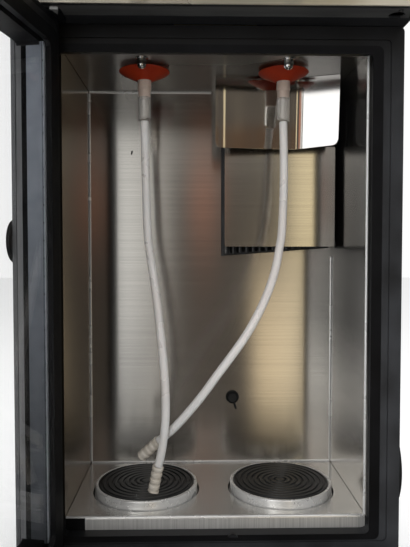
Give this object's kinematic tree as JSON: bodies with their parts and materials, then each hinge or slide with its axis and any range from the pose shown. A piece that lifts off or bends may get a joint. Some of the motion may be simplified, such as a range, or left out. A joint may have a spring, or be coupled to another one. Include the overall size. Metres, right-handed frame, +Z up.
{
  "type": "wine preservation dispenser",
  "caption": "Countertop wine preservation and pouring cabinet with a cooled stainless bay for two bottles, a swing-open glass door, sprung platforms, stoppers with dip tubes and pouring spouts.",
  "frame": {"origin": "middle of the front left foot's underside, on the surface that the cabinet stands on", "axes": "+Z up, +X to the cabinet's right as seen from the front, +Y from the front towards the back"},
  "size_m": [0.3215, 0.4627, 0.498],
  "materials": {
    "stainless": "brushed",
    "chrome": "polished",
    "spring_steel": "drawn",
    "aluminium": "extruded",
    "brass": "machined",
    "moulding": "satin",
    "painted_sheet": "satin",
    "rubber": "matt",
    "silicone": "satin",
    "tubing": "satin",
    "clear_plastic": "polished",
    "key_plastic": "satin",
    "glass": "polished",
    "ceramic": "matt",
    "foam": "matt"
  },
  "bodies": {
    "cabinet": {"base_pan": "moulding", "ledge_housing": "moulding", "deck_plate": "stainless", "liner_left": "stainless", "liner_right": "stainless", "liner_back": "stainless", "liner_ceiling": "stainless", "insulation": "foam", "front_frame": "moulding", "casing": "painted_sheet", "rear_panel": "painted_sheet", "power_inlet": "moulding", "gas_inlet": "brass", "side_cap": "rubber", "head_housing": "painted_sheet", "fascia": "stainless", "head_underside": "stainless", "nozzle_housing": "moulding", "display_window": "clear_plastic", "spout_left": "chrome", "spout_right": "chrome", "wine_line_left": "tubing", "wine_line_right": "tubing", "valve_block": "brass", "stopper_cone_left": "silicone", "stopper_cone_right": "silicone", "stopper_stem_left": "clear_plastic", "stopper_stem_right": "clear_plastic", "dip_tube_left": "tubing", "dip_tube_right": "tubing", "tube_tip_left": "tubing", "tube_tip_right": "tubing", "cooler_cover": "stainless", "air_deflector": "chrome", "cold_sink": "aluminium", "peltier_module": "ceramic", "hot_sink": "aluminium", "fan_frame": "moulding", "temperature_sensor": "rubber", "hinge_plate_lower": "chrome", "hinge_plate_upper": "chrome", "platform_spring_left": "spring_steel", "platform_spring_right": "spring_steel"},
    "door": {"door_frame": "moulding", "door_pane_outer": "glass", "door_pane_inner": "glass", "glass_spacer": "aluminium", "door_gasket": "rubber", "door_handle": "chrome"},
    "left_platform": {"platform_cup_left": "chrome", "platform_mat_left": "rubber"},
    "right_platform": {"platform_cup_right": "chrome", "platform_mat_right": "rubber"},
    "tray": {"drip_tray": "stainless"},
    "grille": {"drip_grille": "stainless"},
    "left_pour_button": {"pour_button_left": "chrome"},
    "right_pour_button": {"pour_button_right": "chrome"},
    "power_key": {"power_button": "key_plastic"},
    "cooling_key": {"cooling_button": "key_plastic"},
    "fan": {"fan_rotor": "moulding"}
  },
  "joints": [
    {"name": "door_hinge", "type": "hinge", "parent": "cabinet", "child": "door", "pos_m": [-0.0138, 0.0725, 0.24], "axis": [0, 0, 1], "range_deg": [-14, 100.7]},
    {"name": "left_platform_slide", "type": "slide", "parent": "cabinet", "child": "left_platform", "axis": [0, 0, 1], "range_m": [-0.028, 0], "stiffness_N_per_m": 800, "springref_m": 0.02, "deforming": ["platform_spring_left"]},
    {"name": "right_platform_slide", "type": "slide", "parent": "cabinet", "child": "right_platform", "axis": [0, 0, 1], "range_m": [-0.028, 0], "stiffness_N_per_m": 800, "springref_m": 0.02, "deforming": ["platform_spring_right"]},
    {"name": "drip_tray_lift", "type": "slide", "parent": "cabinet", "child": "tray", "axis": [0, 0, 1], "range_m": [0, 0.04]},
    {"name": "drip_grille_lift", "type": "slide", "parent": "tray", "child": "grille", "axis": [0, 0, 1], "range_m": [0, 0.03]},
    {"name": "left_pour_press", "type": "slide", "parent": "cabinet", "child": "left_pour_button", "axis": [0, 1, 0], "range_m": [0, 0.002], "stiffness_N_per_m": 500, "springref_m": -0.001},
    {"name": "right_pour_press", "type": "slide", "parent": "cabinet", "child": "right_pour_button", "axis": [0, 1, 0], "range_m": [0, 0.002], "stiffness_N_per_m": 500, "springref_m": -0.001},
    {"name": "power_press", "type": "slide", "parent": "cabinet", "child": "power_key", "axis": [0, 1, 0], "range_m": [0, 0.001], "stiffness_N_per_m": 300, "springref_m": -0.001},
    {"name": "cooling_press", "type": "slide", "parent": "cabinet", "child": "cooling_key", "axis": [0, 1, 0], "range_m": [0, 0.001], "stiffness_N_per_m": 300, "springref_m": -0.001},
    {"name": "fan_spin", "type": "hinge", "parent": "cabinet", "child": "fan", "pos_m": [0.149, 0.254, 0.328], "axis": [0, 1, 0], "continuous": true}
  ]
}
